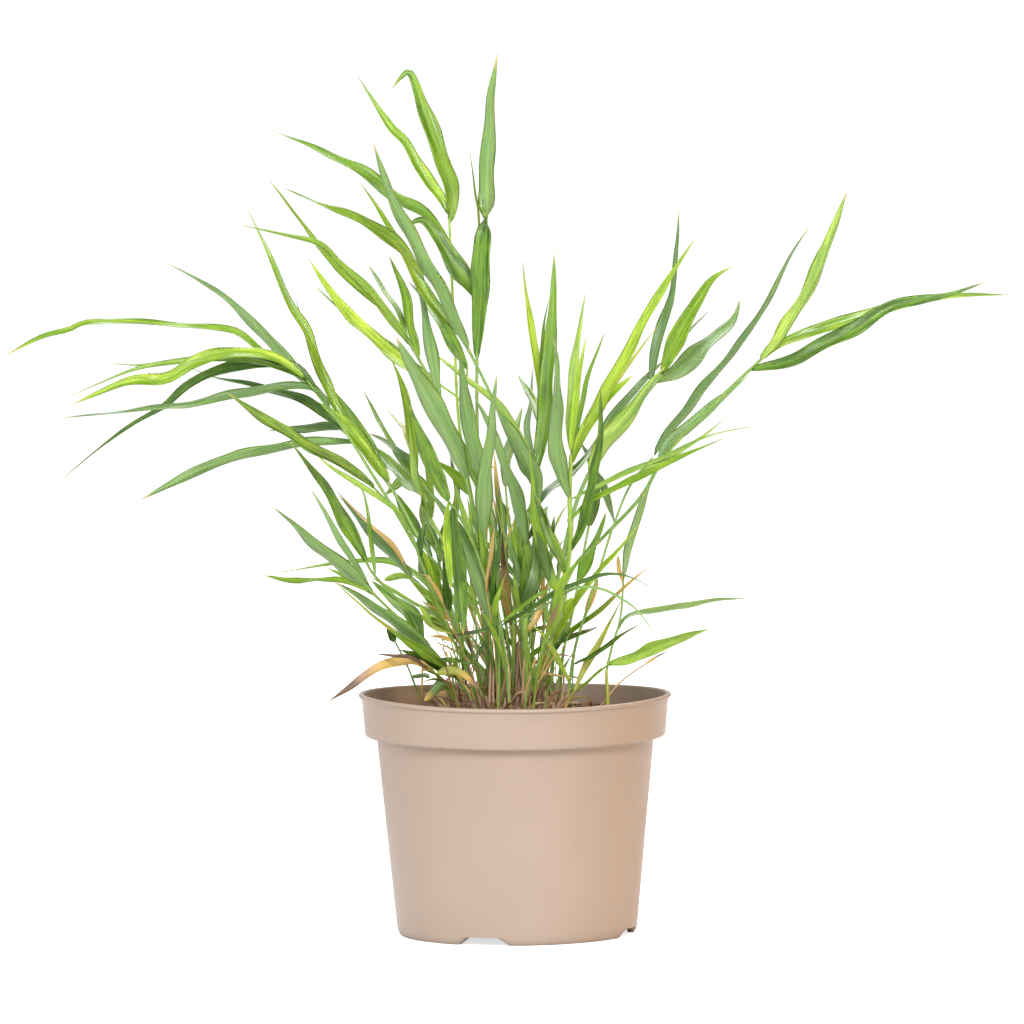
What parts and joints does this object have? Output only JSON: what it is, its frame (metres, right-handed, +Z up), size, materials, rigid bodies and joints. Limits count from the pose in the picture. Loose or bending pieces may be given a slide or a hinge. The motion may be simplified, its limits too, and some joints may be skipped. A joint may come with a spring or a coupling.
{
  "type": "potted ornamental grass clump",
  "caption": "Leafy ornamental grass clump arching from a stubbly crown, in a round tapered nursery pot with a deep rim collar and a notched foot.",
  "frame": {"origin": "on the floor on the pot's axis, which is also the middle of the clump's spread", "axes": "+Z up, the pictured side and front of the pot towards -Y, +X to the right in the picture"},
  "size_m": [0.5516, 0.3746, 0.4811],
  "materials": {
    "pot_plastic": "moulded taupe polypropylene, satin",
    "potting_soil": "damp bark and peat compost, crumbly",
    "crown_stubble": "dry brown stubble of old culms and sheaths",
    "leaf_green": "fresh mid green grass leaf with fine parallel veins",
    "leaf_lime": "young yellow-green grass leaf and culm",
    "leaf_grey": "grey-green leaf underside with a waxy bloom",
    "leaf_straw": "dry yellow-brown leaf and old culm"
  },
  "bodies": {
    "root": {"pot": "pot_plastic", "soil": "potting_soil", "crown": "crown_stubble", "shoot_01": "leaf_green", "shoot_02": "leaf_lime", "shoot_03": "leaf_grey", "shoot_04": "leaf_grey", "shoot_05": "leaf_green", "shoot_06": "leaf_lime", "shoot_07": "leaf_green", "shoot_08": "leaf_green", "shoot_09": "leaf_green", "shoot_10": "leaf_green", "shoot_11": "leaf_grey", "shoot_12": "leaf_straw", "shoot_13": "leaf_green", "shoot_14": "leaf_grey", "shoot_15": "leaf_green", "shoot_16": "leaf_lime", "shoot_17": "leaf_green", "shoot_18": "leaf_grey", "shoot_19": "leaf_lime", "shoot_20": "leaf_straw", "shoot_21": "leaf_green", "shoot_22": "leaf_lime", "shoot_23": "leaf_grey", "shoot_24": "leaf_green", "shoot_25": "leaf_grey", "shoot_26": "leaf_grey", "shoot_27": "leaf_lime", "shoot_28": "leaf_straw", "shoot_29": "leaf_green", "shoot_30": "leaf_grey", "shoot_31": "leaf_green", "shoot_32": "leaf_lime"}
  },
  "joints": []
}
